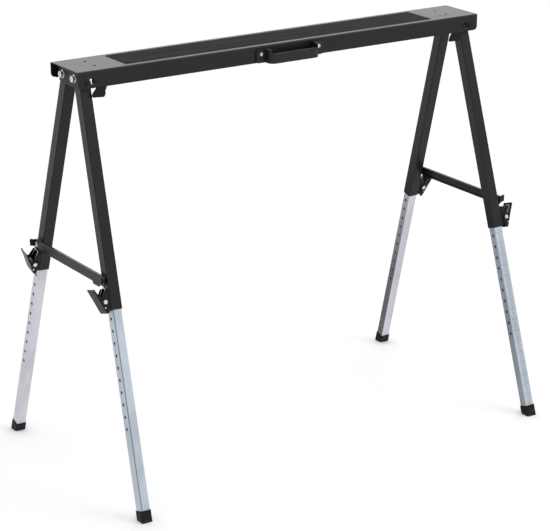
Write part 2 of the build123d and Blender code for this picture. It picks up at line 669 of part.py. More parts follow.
def make_lower_leg(node, place):
    bottom = -LEG_REACH + CAP_FLOOR
    top = -UPPER_LENGTH + LOWER_OVERLAP
    first = -UPPER_LENGTH + LOCK_PIN_HEIGHT
    with BuildPart() as leg:
        add(square_tube(LOWER_TUBE, LOWER_WALL, LOWER_CORNER, bottom, top))
        with BuildSketch(Plane.YZ.offset(-LOWER_TUBE)):
            with Locations(*[(0, first - i * HOLE_PITCH) for i in range(HOLE_COUNT)]):
                Circle(HOLE_DIAMETER / 2)
        extrude(amount=2 * LOWER_TUBE, mode=Mode.SUBTRACT)
    keep(leg.part, node, place)


def make_foot_cap(node, place, side):
    """Rubber cap: a socket for the tube, cut level with the floor."""
    outer = LOWER_TUBE + 2 * CAP_WALL
    with BuildPart() as cap:
        with BuildSketch(Plane.XY.offset(-LEG_REACH - outer)):
            RectangleRounded(outer, outer, LOWER_CORNER + 0.8)
        extrude(amount=CAP_HEIGHT + outer)
        floor = Plane(origin=(0, 0, -LEG_REACH),
                      z_dir=(SIN_SPLAY, side * SIN_LEG * COS_SPLAY, COS_LEG * COS_SPLAY))
        split(bisect_by=floor, keep=Keep.TOP)
        with BuildSketch(Plane.XY.offset(-LEG_REACH + CAP_FLOOR)):
            RectangleRounded(LOWER_TUBE + 2 * SEAT, LOWER_TUBE + 2 * SEAT, LOWER_CORNER)
        extrude(amount=CAP_HEIGHT, mode=Mode.SUBTRACT)
    keep(cap.part, node, place)


def make_plug(node, place):
    """Plastic guide in the top of the lower tube."""
    inside = LOWER_TUBE - 2 * LOWER_WALL - 2 * SEAT
    top = -UPPER_LENGTH + LOWER_OVERLAP
    with BuildPart() as plug:
        with BuildSketch(Plane.XY.offset(top - PLUG_LENGTH + PLUG_FLANGE)):
            RectangleRounded(inside, inside, 1.2)
        extrude(amount=PLUG_LENGTH - PLUG_FLANGE)
        with BuildSketch(Plane.XY.offset(top)):
            RectangleRounded(LOWER_TUBE, LOWER_TUBE, LOWER_CORNER)
        extrude(amount=PLUG_FLANGE)
    keep(plug.part, node, place)


# ---------------------------------------------------------------- leg locks
def lock_frame(leg_place):
    """Frame of a lock: as the leg's, but with its origin at the upper tube's bottom end."""
    return leg_place * Location((0, 0, -UPPER_LENGTH))


def make_lock_bracket(node, place):
    face = LEG_FACE + LOCK_BASE
    foot = LOCK_CHEEK[0]
    cheek = [(face, foot[1]), *LOCK_CHEEK, (foot[0], LOCK_BRACKET_TOP), (face, LOCK_BRACKET_TOP)]
    with BuildPart() as bracket:
        with Locations((LEG_FACE + LOCK_BASE / 2, 0, (LOCK_BRACKET_TOP + foot[1]) / 2)):
            Box(LOCK_BASE, LOCK_BRACKET_WIDTH, LOCK_BRACKET_TOP - foot[1])
        for side in (FRONT, BACK):
            with BuildSketch(Plane.XZ.offset(side * (CHEEK_OUT - LOCK_SHEET / 2))) as outline:
                with BuildLine():
                    Polyline(*cheek, close=True)
                make_face()
                with Locations((LOCK_PIVOT_OUT, LOCK_PIVOT_HEIGHT)):
                    Circle(LOCK_RIVET_DIAMETER / 2 + SEAT, mode=Mode.SUBTRACT)
            extrude(amount=LOCK_SHEET / 2, both=True)
        with BuildSketch(Plane.YZ.offset(LEG_FACE)):
            with Locations((0, LOCK_PIN_HEIGHT)):
                Circle(LOCK_PIN_DIAMETER / 2 + RUNNING)
        extrude(amount=LOCK_BASE, mode=Mode.SUBTRACT)
    keep(bracket.part, node, place)


def make_lock_lever(node, place):
    """Sheet lever: two cheeks outside the bracket, joined by a web that is also the handle."""
    sheet = LOCK_SHEET
    cavity = [(x - sheet * 1.15, z + sheet * 0.25) for x, z in LEVER_BACK]
    with BuildPart() as lever:
        with BuildSketch(Plane.XZ.offset(-LEVER_OUT)):
            with BuildLine():
                Polyline(*LEVER_BACK, *LEVER_FRONT, close=True)
            make_face()
        extrude(amount=2 * LEVER_OUT)
        with BuildSketch(Plane.XZ.offset(-LEVER_IN)):
            with BuildLine():
                Polyline((cavity[0][0] + 6, cavity[0][1] + 13), *cavity,
                         (cavity[-1][0] - 1, -10), (0, -10), (0, 60), close=True)
            make_face()
        extrude(amount=2 * LEVER_IN, mode=Mode.SUBTRACT)
        with BuildSketch(Plane.XZ.offset(-LEVER_OUT)):
            with Locations((LOCK_PIVOT_OUT, LOCK_PIVOT_HEIGHT)):
                Circle(LOCK_RIVET_DIAMETER / 2 + RUNNING)
            with Locations(Location((CROSS_PIN_OUT, LOCK_PIN_HEIGHT - 0.5, 0), (0, 0, 90))):
                SlotOverall(CROSS_PIN_DIAMETER + 3.5, CROSS_PIN_DIAMETER + 2 * SLIDING)
        extrude(amount=2 * LEVER_OUT, mode=Mode.SUBTRACT)
    keep(lever.part, node, place)


def make_lock_rivet(node, place):
    head_in = LEVER_OUT + LOCK_HEAD_GAP
    with BuildPart() as rivet:
        with BuildSketch(Plane.XZ.offset(-head_in)):
            with Locations((LOCK_PIVOT_OUT, LOCK_PIVOT_HEIGHT)):
                Circle(LOCK_RIVET_DIAMETER / 2)
        extrude(amount=2 * head_in)
        for side in (FRONT, BACK):
            with BuildSketch(Plane.XZ.offset(side * (head_in + LOCK_HEAD_HEIGHT / 2))):
                with Locations((LOCK_PIVOT_OUT, LOCK_PIVOT_HEIGHT)):
                    Circle(LOCK_RIVET_HEAD / 2)
            extrude(amount=LOCK_HEAD_HEIGHT / 2, both=True)
        rims = rivet.edges().filter_by(GeomType.CIRCLE).filter_by(
            lambda e: abs(e.center().Y) > head_in + LOCK_HEAD_HEIGHT - 0.1
        )
        fillet(rims, LOCK_HEAD_HEIGHT * 2 / 3)
    keep(rivet.part, node, place)


def make_lock_pin(node, place):
    """Index pin with its cross pin. It stops just short of the lower tube."""
    tip = LOWER_TUBE / 2 + SLIDING
    with BuildPart() as pin:
        with BuildSketch(Plane.YZ.offset(tip)):
            with Locations((0, LOCK_PIN_HEIGHT)):
                Circle(LOCK_PIN_DIAMETER / 2)
        extrude(amount=LOCK_PIN_LENGTH)
        chamfer(pin.edges().group_by(Axis.X)[-1], PIN_CHAMFER)
        with BuildSketch(Plane.XZ.offset(-LEVER_OUT - CROSS_PIN_PROUD)):
            with Locations((CROSS_PIN_OUT, LOCK_PIN_HEIGHT)):
                Circle(CROSS_PIN_DIAMETER / 2)
        extrude(amount=2 * (LEVER_OUT + CROSS_PIN_PROUD))
    keep(pin.part, node, place)


def make_lock_spring(node, place):
    """Torsion spring: two coils on the rivet and a bail that leans on the bracket."""
    wire = SPRING_WIRE / 2
    apex = (LEG_FACE + LOCK_BASE + SPRING_LEAN, LOCK_BRACKET_TOP + 1.0)
    rise = (apex[0] - LOCK_PIVOT_OUT - SPRING_RADIUS, apex[1] - LOCK_PIVOT_HEIGHT)
    with BuildPart() as spring:
        for side in (FRONT, BACK):
            with BuildSketch(Plane.XZ.offset(side * SPRING_SPREAD)):
                with Locations((LOCK_PIVOT_OUT, LOCK_PIVOT_HEIGHT)):
                    Circle(SPRING_RADIUS + wire)
                    Circle(SPRING_RADIUS - wire, mode=Mode.SUBTRACT)
            extrude(amount=wire * 2.6, both=True)
            foot = Plane(origin=(LOCK_PIVOT_OUT + SPRING_RADIUS, side * SPRING_SPREAD,
                                 LOCK_PIVOT_HEIGHT),
                         z_dir=(rise[0], 0, rise[1]))
            with BuildSketch(foot):
                Circle(wire)
            extrude(amount=(rise[0] ** 2 + rise[1] ** 2) ** 0.5)
        with BuildSketch(Plane.XZ.offset(-SPRING_SPREAD - wire)):
            with Locations(apex):
                Circle(wire)
        extrude(amount=2 * (SPRING_SPREAD + wire))
    keep(spring.part, node, place)


# ---------------------------------------------------------------- assembly
make_beam()
make_mat()
make_handle()
make_handle_screws()
make_fold_rivets()
make_catch_rivets()
for end_name, end in ENDS.items():
    pair_place = pair_frame(end)
    make_catch(end_name, end)
    make_leg_bracket(end_name, pair_place)
    make_leg_bolts(end_name, pair_place)
    make_brace(end_name, pair_place)
    for side in (FRONT, BACK):
        # side counts along the pair's own Y, which points to the front at the left end
        leg_name = end_name + ("_front" if side * end < 0 else "_rear")
        leg_place = leg_frame(end, side)
        lock_place = lock_frame(leg_place)
        make_upper_leg(f"{leg_name}_upper_leg", leg_place)
        make_lower_leg(f"{leg_name}_lower_leg", leg_place)
        make_foot_cap(f"{leg_name}_foot_cap", leg_place, side)
        make_plug(f"{leg_name}_guide_plug", leg_place)
        make_stud(f"{leg_name}_brace_" + ("pivot" if side > 0 else "stud"), leg_place)
        make_lock_bracket(f"{leg_name}_lock_bracket", lock_place)
        make_lock_lever(f"{leg_name}_lock_lever", lock_place)
        make_lock_rivet(f"{leg_name}_lock_rivet", lock_place)
        make_lock_pin(f"{leg_name}_lock_pin", lock_place)
        make_lock_spring(f"{leg_name}_lock_spring", lock_place)
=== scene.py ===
# %% [markdown]
# # A folding sawhorse, dressed for a product shot
#
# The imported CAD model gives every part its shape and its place. This lesson gives those parts
# their finishes, adds what the CAD leaves out, such as ribs, coils and engraved marks, and then
# sets up the floor, the lights and the camera. Everything is in metres. X runs along the beam.

# %% Load the frame
import bmesh
import bpy
import json
import math
from mathutils import Matrix, Vector


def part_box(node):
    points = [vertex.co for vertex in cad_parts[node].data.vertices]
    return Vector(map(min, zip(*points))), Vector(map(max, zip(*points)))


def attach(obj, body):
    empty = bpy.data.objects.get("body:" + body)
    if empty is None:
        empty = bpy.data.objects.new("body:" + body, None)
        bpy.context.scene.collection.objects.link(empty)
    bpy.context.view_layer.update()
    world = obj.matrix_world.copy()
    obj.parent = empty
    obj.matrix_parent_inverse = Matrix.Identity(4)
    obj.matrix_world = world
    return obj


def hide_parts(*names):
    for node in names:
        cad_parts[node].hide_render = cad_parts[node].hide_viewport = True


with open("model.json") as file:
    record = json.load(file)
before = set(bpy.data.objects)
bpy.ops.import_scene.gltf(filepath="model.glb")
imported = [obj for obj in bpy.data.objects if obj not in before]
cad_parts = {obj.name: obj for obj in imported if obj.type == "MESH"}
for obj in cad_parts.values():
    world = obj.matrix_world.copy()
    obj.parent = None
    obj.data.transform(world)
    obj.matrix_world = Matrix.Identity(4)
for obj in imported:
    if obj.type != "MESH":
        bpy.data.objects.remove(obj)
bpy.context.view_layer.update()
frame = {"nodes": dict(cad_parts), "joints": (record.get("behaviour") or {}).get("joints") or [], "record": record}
nodes = frame["nodes"]

# %% [markdown]
# ## Shader arithmetic
#
# A node tree is easiest to read as sums. `Sock` wraps one output socket, so that `a * 0.5 + b`
# makes the math nodes by itself. `Nodes` works on any shader tree. Its `node` method makes a node
# from its type, its settings and the values or links of its inputs. `Tree` is the tree of one
# material, with a Principled shader at its end.

# %% The socket wrapper and the node maker
class Sock:
    """One output socket that can be added, subtracted, multiplied and compared."""

    def __init__(self, tree, socket):
        self.tree = tree
        self.socket = socket

    def _math(self, operation, *values, clamp=False):
        node = self.tree.node("ShaderNodeMath", dict(enumerate(values)), operation=operation,
                              use_clamp=clamp)
        return Sock(self.tree, node.outputs[0])

    def __add__(self, other):
        return self._math("ADD", self, other)

    def __radd__(self, other):
        return self._math("ADD", other, self)

    def __sub__(self, other):
        return self._math("SUBTRACT", self, other)

    def __rsub__(self, other):
        return self._math("SUBTRACT", other, self)

    def __mul__(self, other):
        return self._math("MULTIPLY", self, other)

    def __rmul__(self, other):
        return self._math("MULTIPLY", other, self)

    def __truediv__(self, other):
        return self._math("DIVIDE", self, other)

    def __rtruediv__(self, other):
        return self._math("DIVIDE", other, self)

    def __lt__(self, other):
        return self._math("LESS_THAN", self, other)

    def abs(self):
        return self._math("ABSOLUTE", self)

    def fract(self):
        return self._math("FRACT", self)

    def clamp(self):
        return self._math("ADD", self, 0.0, clamp=True)

    def ramp(self, low, high):
        """0 at or below low, 1 at or above high, smooth between."""
        node = self.tree.node("ShaderNodeMapRange", {0: self, 1: low, 2: high, 3: 0.0, 4: 1.0},
                              interpolation_type="SMOOTHSTEP")
        return Sock(self.tree, node.outputs["Result"])


class Nodes:
    """A shader tree that starts empty."""

    def __init__(self, node_tree):
        self.nodes = node_tree.nodes
        self.links = node_tree.links
        self.nodes.clear()

    def node(self, kind, inputs=None, **settings):
        """Makes a node, sets its settings, and then sets or links its inputs."""
        made = self.nodes.new(kind)
        for key, value in settings.items():
            setattr(made, key, value)
        for key, value in (inputs or {}).items():
            self.put(made.inputs[key], value)
        return made

    def put(self, slot, value):
        """Links a wrapped socket to an input, or sets a plain value on it."""
        if isinstance(value, Sock):
            self.links.new(value.socket, slot)
        else:
            slot.default_value = value

    def split(self, vector):
        """The three numbers of a wrapped vector."""
        node = self.node("ShaderNodeSeparateXYZ", {0: vector})
        return [Sock(self, output) for output in node.outputs]

    def coordinates(self, space):
        return Sock(self, self.node("ShaderNodeTexCoord").outputs[space])

    def mix(self, amount, low, high):
        """A colour between low and high. Either may be a plain colour or a wrapped one."""
        low, high = (c if isinstance(c, Sock) else (*c, 1.0) for c in (low, high))
        node = self.node("ShaderNodeMix", {0: amount, 6: low, 7: high}, data_type="RGBA")
        return Sock(self, node.outputs[2])


class Tree(Nodes):
    """A material's node tree with a Principled shader."""

    def __init__(self, name, **constants):
        self.material = bpy.data.materials.new(name)
        self.material.use_nodes = True
        super().__init__(self.material.node_tree)
        self.shader = self.node("ShaderNodeBsdfPrincipled")
        surface = Sock(self, self.shader.outputs[0])
        self.node("ShaderNodeOutputMaterial", {"Surface": surface})
        self.set(**constants)

    def set(self, **inputs):
        for key, value in inputs.items():
            self.put(self.shader.inputs[key.replace("_", " ")], value)

    def place(self):
        """Object coordinates as three wrapped sockets. Metres, in the frame's axes."""
        return self.split(self.coordinates("Object"))

    def normal(self):
        return Sock(self, self.node("ShaderNodeNewGeometry").outputs["Normal"])

    def facing(self):
        """The surface normal as three wrapped sockets."""
        return self.split(self.normal())

    def rounded_normal(self, width):
        """The normal that the surface would have with its edges rounded."""
        return Sock(self, self.node("ShaderNodeBevel", {"Radius": width}, samples=4).outputs[0])

    def stretched(self, stretch):
        """Object coordinates, scaled on each axis."""
        node = self.node("ShaderNodeMapping", {0: self.coordinates("Object"), "Scale": stretch})
        return Sock(self, node.outputs[0])

    def joined(self, x, y, z):
        """Three wrapped numbers as one vector."""
        return Sock(self, self.node("ShaderNodeCombineXYZ", {0: x, 1: y, 2: z}).outputs[0])

    def noise(self, scale, detail=3.0, stretch=(1.0, 1.0, 1.0), vector=None):
        where = self.joined(*vector) if vector else self.stretched(stretch)
        node = self.node("ShaderNodeTexNoise", {"Vector": where, "Scale": scale, "Detail": detail})
        return Sock(self, node.outputs["Fac"])

    def cells(self, scale):
        where = self.stretched((1.0, 1.0, 1.0))
        node = self.node("ShaderNodeTexVoronoi", {"Vector": where, "Scale": scale})
        return Sock(self, node.outputs["Distance"])

    def worn_edges(self, width):
        """1 along sharp edges, from the difference that a rounding bevel makes to the normal."""
        node = self.node("ShaderNodeVectorMath", {0: self.rounded_normal(width), 1: self.normal()},
                         operation="DOT_PRODUCT")
        return (1.0 - Sock(self, node.outputs["Value"])).ramp(0.02, 0.25)

    def bump(self, height, strength, distance, soften=0.0):
        """Relief from a height, on a surface whose edges look rounded by soften."""
        inputs = {"Strength": strength, "Distance": distance, "Height": height}
        if soften:
            inputs["Normal"] = self.rounded_normal(soften)
        self.set(Normal=Sock(self, self.node("ShaderNodeBump", inputs).outputs[0]))


print("shader helpers ready")

# %% [markdown]
# ## Where each leg points
#
# The legs lean two ways at once, so marks and streaks that run along a tube need the tube's own
# directions. The joints already hold them: the retract slide runs up the leg, the pin pull runs
# out of its locked face, and the lever turns about the line across it.

# %% Each leg's own axes
LEVER_PIVOT_OUT = 0.0247  # from the middle of the tube
LEVER_PIVOT_UP = 0.0185  # from the open end of the upper tube
joints = {joint["name"]: joint for joint in frame["joints"]}


def leg_axes(leg):
    """The centre of the upper tube's open end, then out, across and up."""
    pivot = Vector(joints[leg + "_lock_release"]["pos_m"])
    out = Vector(joints[leg + "_pin_pull"]["axis"])
    up = Vector(joints[leg + "_retract"]["axis"])
    return pivot - out * LEVER_PIVOT_OUT - up * LEVER_PIVOT_UP, out, up.cross(out), up


legs = {leg: leg_axes(leg) for leg in ("left_front", "left_rear", "right_front", "right_rear")}
print({leg: round(math.degrees(axes[3].angle(Vector((0, 0, 1)))), 1) for leg, axes in legs.items()})

# %% [markdown]
# ## Powder coat
#
# The beam, the upper tubes and the braces are sprayed with black powder and baked. Close up the
# skin is a very fine orange peel. It dulls a little where hands and timber rub it, thins on sharp
# edges, and holds a trace of dust on top. Three noises at three sizes make all of that.

# %% Powder coat and pressed black sheet
def powder_coat(name, shade, rough, gloss, peel, dusty):
    paint = Tree(name, Specular_IOR_Level=gloss)
    up = paint.facing()[2]
    cloud = paint.noise(7.0, detail=4.0)
    skin = paint.noise(650.0, detail=2.0)
    speck = paint.noise(2400.0, detail=1.0)
    rubbed = paint.noise(38.0, detail=5.0, stretch=(0.3, 1.0, 1.0)).ramp(0.58, 0.70)
    bare = paint.worn_edges(0.0006) * paint.noise(120.0, detail=3.0).ramp(0.46, 0.62)
    dust = up.ramp(0.4, 0.95) * cloud.ramp(0.35, 0.7)
    colour = paint.mix(cloud.ramp(0.3, 0.7), [c * 0.82 for c in shade], [c * 1.22 for c in shade])
    colour = paint.mix(bare * 0.35, colour, (0.10, 0.10, 0.105))
    colour = paint.mix(dust * dusty, colour, (0.42, 0.41, 0.40))
    paint.set(Base_Color=colour,
              Roughness=rough + cloud * 0.06 + speck * 0.05 + rubbed * 0.07 - bare * 0.08)
    paint.bump(skin * 0.7 + speck * 0.3, strength=peel, distance=0.00035, soften=0.0005)
    return paint.material


finishes = {
    "black_coat": powder_coat("black powder coat", (0.0060, 0.0060, 0.0065), 0.29, gloss=0.31,
                              peel=0.12, dusty=0.02),
    "black_sheet": powder_coat("black pressed sheet", (0.0035, 0.0035, 0.0040), 0.27, gloss=0.22,
                               peel=0.08, dusty=0.015),
}
print("painted finishes", list(finishes))

# %% [markdown]
# ## Zinc
#
# The sliding tubes are zinc plated, which is pale with a blue or lilac cast. The plating is drawn
# out in long faint streaks, it clouds in patches, and the index pin has scratched a track down
# the locked face. One leg carries a ruled scale, and one shows the dark line of its welded seam.
# All of this is laid out in the leg's own axes, which `in_leg` works out from object coordinates.

# %% Plated tubes and bright hardware
LOWER_TUBE_HALF = 0.0105
PIN_TRACK_HALF = 0.0032
SCALE_PITCH = 0.005
SCALE_TOP = -0.006
TICK_SHARE, LONG_TICK_SHARE = 0.26, 0.06
TICK_HALF, LONG_TICK_HALF = 0.0042, 0.0075
SEAM_INSET, SEAM_HALF = 0.0022, 0.0011


def in_leg(tree, leg):
    origin, *axes = legs[leg]
    x, y, z = tree.place()
    return [x * a.x + y * a.y + z * a.z - origin.dot(a) for a in axes]


def face_of(tree, direction):
    """1 on faces that look along a direction."""
    nx, ny, nz = tree.facing()
    return (nx * direction.x + ny * direction.y + nz * direction.z).ramp(0.85, 0.97)


def plated_tube(leg, cast, ruled=False, seamed=False):
    zinc = Tree(leg + " zinc tube", Metallic=0.95)
    out, across, up = in_leg(zinc, leg)
    drawn = zinc.noise(1.0, detail=4.0, vector=(out * 700.0, across * 700.0, up * 9.0))
    cloud = zinc.noise(1.0, detail=3.0, vector=(out * 30.0, across * 30.0, up * 11.0))
    frost = zinc.noise(1600.0, detail=2.0)
    locked = face_of(zinc, legs[leg][1])
    track = locked * (across.abs() < PIN_TRACK_HALF) * drawn.ramp(0.45, 0.62)
    colour = zinc.mix(cloud.ramp(0.3, 0.7), [c * 0.90 for c in cast], [c * 1.08 for c in cast])
    colour = zinc.mix(drawn.ramp(0.35, 0.75) * 0.25, colour, (0.48, 0.50, 0.55))
    colour = zinc.mix(track * 0.25, colour, (0.42, 0.43, 0.45))
    relief = drawn * 0.6 + frost * 0.4
    if ruled:
        step = (up / SCALE_PITCH + 0.5).fract()
        long_step = (up / (5 * SCALE_PITCH) + 0.5).fract()
        thin = (step < TICK_SHARE) * (out.abs() < TICK_HALF)
        long = (long_step < LONG_TICK_SHARE) * (out.abs() < LONG_TICK_HALF)
        marks = (thin + long).clamp() * face_of(zinc, -legs[leg][2]) * (up < SCALE_TOP)
        colour = zinc.mix(marks * 0.75, colour, (0.17, 0.19, 0.24))
        relief = relief - marks * 1.6
    if seamed:
        from_seam = (out - LOWER_TUBE_HALF + SEAM_INSET).abs()
        line = (from_seam < SEAM_HALF) * face_of(zinc, legs[leg][2])
        colour = zinc.mix(line * 0.8, colour, (0.09, 0.10, 0.13))
        relief = relief - line * 0.8
    zinc.set(Base_Color=colour, Roughness=0.30 + cloud * 0.10 + drawn * 0.08)
    zinc.bump(relief, strength=0.14, distance=0.0002, soften=0.0006)
    return zinc.material


def bright_zinc():
    bright = Tree("bright zinc", Metallic=1.0)
    cloud = bright.noise(220.0, detail=3.0)
    fine = bright.noise(2600.0, detail=2.0)
    colour = bright.mix(cloud.ramp(0.3, 0.7), (0.58, 0.58, 0.60), (0.84, 0.84, 0.85))
    colour = bright.mix(bright.worn_edges(0.0003) * 0.3, colour, (0.92, 0.92, 0.93))
    bright.set(Base_Color=colour, Roughness=0.20 + cloud * 0.14)
    bright.bump(fine + cloud, strength=0.12, distance=0.0001, soften=0.0003)
    return bright.material


def spring_wire():
    oiled = Tree("oiled spring wire", Metallic=1.0)
    cloud = oiled.noise(300.0, detail=3.0)
    fine = oiled.noise(2400.0, detail=2.0)
    oiled.set(Base_Color=oiled.mix(cloud.ramp(0.3, 0.7), (0.13, 0.13, 0.135), (0.26, 0.26, 0.27)),
              Roughness=0.28 + cloud * 0.15)
    oiled.bump(fine + cloud, strength=0.10, distance=0.0001, soften=0.0003)
    return oiled.material


finishes["zinc_hardware"] = bright_zinc()
finishes["catch_wire"] = spring_wire()
tube_finishes = {
    "left_front": plated_tube("left_front", (0.53, 0.59, 0.665), seamed=True),
    "left_rear": plated_tube("left_rear", (0.66, 0.66, 0.72)),
    "right_front": plated_tube("right_front", (0.54, 0.60, 0.665), ruled=True),
    "right_rear": plated_tube("right_rear", (0.66, 0.66, 0.71)),
}
print(len(tube_finishes), "plated tubes")

# %% [markdown]
# ## Rubber and plastic
#
# The foot caps are soft moulded rubber: dull, scuffed and dusty low down, where they drag over the
# ground. The handle and the guide plugs are a spark-textured plastic with a little more sheen.

# %% Foot rubber, mat rubber and handle plastic
def foot_rubber():
    rubber = Tree("foot rubber", Specular_IOR_Level=0.2)
    height = rubber.place()[2]
    cloud = rubber.noise(70.0, detail=5.0)
    grit = rubber.noise(900.0, detail=3.0)
    scuffed = (1.0 - height.ramp(0.002, 0.022)) * cloud.ramp(0.42, 0.66)
    colour = rubber.mix(cloud.ramp(0.3, 0.7), (0.004, 0.004, 0.0045), (0.009, 0.009, 0.0095))
    colour = rubber.mix(scuffed * 0.25, colour, (0.06, 0.058, 0.055))
    rubber.set(Base_Color=colour, Roughness=0.50 + cloud * 0.20 + scuffed * 0.15)
    rubber.bump(grit * 0.6 + cloud * 0.6, strength=0.25, distance=0.0004, soften=0.0008)
    return rubber.material


def mat_rubber():
    rubber = Tree("ribbed mat rubber", Specular_IOR_Level=0.25)
    cloud = rubber.noise(16.0, detail=4.0, stretch=(0.3, 1.0, 1.0))
    streak = rubber.noise(240.0, detail=3.0, stretch=(0.02, 1.0, 1.0))
    grit = rubber.noise(1500.0, detail=2.0)
    colour = rubber.mix(streak.ramp(0.35, 0.7), (0.010, 0.010, 0.012), (0.026, 0.026, 0.030))
    colour = rubber.mix(cloud.ramp(0.45, 0.75) * 0.3, colour, (0.055, 0.055, 0.058))
    rubber.set(Base_Color=colour, Roughness=0.62 + cloud * 0.15)
    rubber.bump(grit, strength=0.25, distance=0.0002)
    return rubber.material


def spark_plastic():
    plastic = Tree("spark textured plastic", Specular_IOR_Level=0.35)
    spark = plastic.cells(1500.0)
    cloud = plastic.noise(45.0, detail=4.0)
    polished = plastic.worn_edges(0.0012) * cloud.ramp(0.35, 0.65)
    colour = plastic.mix(cloud.ramp(0.3, 0.7), (0.006, 0.006, 0.0065), (0.011, 0.011, 0.012))
    colour = plastic.mix(polished * 0.4, colour, (0.045, 0.045, 0.048))
    plastic.set(Base_Color=colour, Roughness=0.42 + cloud * 0.12 - polished * 0.12)
    plastic.bump(spark, strength=0.22, distance=0.0002, soften=0.0008)
    return plastic.material


finishes["black_rubber"] = foot_rubber()
finishes["ribbed_rubber"] = mat_rubber()
finishes["black_plastic"] = spark_plastic()
print("finishes", list(finishes))

# %% Hand the finishes out to the CAD parts
for part in frame["record"]["subparts"]:
    name = part["node"]
    leg = name.replace("_lower_leg", "")
    finish = tube_finishes.get(leg) or finishes[part["material_slot"]]
    finish = finishes["catch_wire"] if name.endswith("_catch_spring") else finish
    nodes[name].data.materials.clear()
    nodes[name].data.materials.append(finish)

# %% [markdown]
# ## The ribbed mat
#
# The strip let into the top is rubber with fine ribs along the beam, so that timber doesn't slide.
# The CAD part is a plain strip. Geometry Nodes draw one rib and lay it side by side on a line of
# points, so the pitch is one number.

# %% Helpers for a Geometry Nodes tree
def geometry_tree(name, **sizes):
    """A node group with a geometry output and a named input for each size."""
    group = bpy.data.node_groups.new(name, "GeometryNodeTree")
    group.interface.new_socket("Geometry", in_out="INPUT", socket_type="NodeSocketGeometry")
    for key, value in sizes.items():
        kind = "NodeSocketInt" if isinstance(value, int) else "NodeSocketFloat"
        kind = "NodeSocketMaterial" if isinstance(value, bpy.types.Material) else kind
        group.interface.new_socket(key, in_out="INPUT", socket_type=kind)
    group.interface.new_socket("Geometry", in_out="OUTPUT", socket_type="NodeSocketGeometry")
    return group


def grown(name, group, body, slot, **sizes):
    """Runs a tree on an empty mesh and keeps the result as a plain mesh that rides on a body."""
    seed = bpy.data.objects.new(name + "_seed", bpy.data.meshes.new(name + "_seed"))
    bpy.context.scene.collection.objects.link(seed)
    modifier = seed.modifiers.new("grow", "NODES")
    modifier.node_group = group
    for item in group.interface.items_tree:
        if item.in_out == "INPUT" and item.name in sizes:
            modifier[item.identifier] = sizes[item.name]
    graph = bpy.context.evaluated_depsgraph_get()
    mesh = bpy.data.meshes.new_from_object(seed.evaluated_get(graph), depsgraph=graph)
    bpy.data.objects.remove(seed)
    piece = bpy.data.objects.new(name, mesh)
    bpy.context.scene.collection.objects.link(piece)
    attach(piece, body)
    return piece


def chain(group, *steps):
    """Makes nodes from (kind, {input: value or (node, output)}) steps, and returns them."""
    made = []
    for kind, inputs in steps:
        node = group.nodes.new(kind)
        for key, value in inputs.items():
            if isinstance(value, tuple) and isinstance(value[0], int):
                group.links.new(made[value[0]].outputs[value[1]], node.inputs[key])
            elif isinstance(value, str):
                group.links.new(group.nodes["Group Input"].outputs[value], node.inputs[key])
            else:
                node.inputs[key].default_value = value
        made.append(node)
    return made


print("geometry helpers ready")

# %% [markdown]
# A rib is a long thin rod, half sunk into the strip. A line swept with a small circle gives that.
# The rods are realised and given their material in the tree. The strip under them is a separate
# block with rounded edges, which takes the place of the CAD part.

# %% Lay the ribs
mat_low, mat_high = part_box("anti_slip_mat")
RIB_PITCH = 0.0020
RIB_RADIUS = 0.00075
MAT_EDGE = 0.0022
STRIP_ROUNDING = 0.0003

mat_tree = geometry_tree("mat ribs", Length=1.0, Pitch=1.0, Radius=1.0, Count=1,
                         Rubber=finishes["ribbed_rubber"])
mat_tree.nodes.new("NodeGroupInput").name = "Group Input"
mat_nodes = chain(
    mat_tree,
    ("ShaderNodeMath", {0: "Length", 1: 0.5}),
    ("ShaderNodeMath", {0: "Length", 1: -0.5}),
    ("ShaderNodeCombineXYZ", {"X": (0, 0)}),
    ("ShaderNodeCombineXYZ", {"X": (1, 0)}),
    ("GeometryNodeCurvePrimitiveLine", {"Start": (3, 0), "End": (2, 0)}),
    ("GeometryNodeCurvePrimitiveCircle", {"Resolution": 8, "Radius": "Radius"}),
    ("GeometryNodeCurveToMesh", {"Curve": (4, 0), "Profile Curve": (5, 0), "Fill Caps": True}),
    ("ShaderNodeCombineXYZ", {"Y": "Pitch"}),
    ("GeometryNodeMeshLine", {"Count": "Count", "Offset": (7, 0)}),
    ("GeometryNodeInstanceOnPoints", {"Points": (8, 0), "Instance": (6, 0)}),
    ("GeometryNodeRealizeInstances", {"Geometry": (9, 0)}),
    ("GeometryNodeSetMaterial", {"Geometry": (10, 0), "Material": "Rubber"}),
)
mat_nodes[0].operation = mat_nodes[1].operation = "MULTIPLY"
mat_tree.links.new(mat_nodes[-1].outputs[0], mat_tree.nodes.new("NodeGroupOutput").inputs[0])

rib_room = mat_high.y - mat_low.y - 2 * MAT_EDGE
rib_count = int(rib_room / RIB_PITCH) + 1
ribs = grown("mat_ribs", mat_tree, "frame", "ribbed_rubber",
             Length=mat_high.x - mat_low.x - 2 * MAT_EDGE, Pitch=RIB_PITCH,
             Radius=RIB_RADIUS, Count=rib_count, Rubber=finishes["ribbed_rubber"])
ribs.data.transform(Matrix.Translation((0, -(rib_count - 1) * RIB_PITCH / 2,
                                        mat_high.z - RIB_RADIUS)))
print(rib_count, "ribs,", len(ribs.data.polygons), "faces")

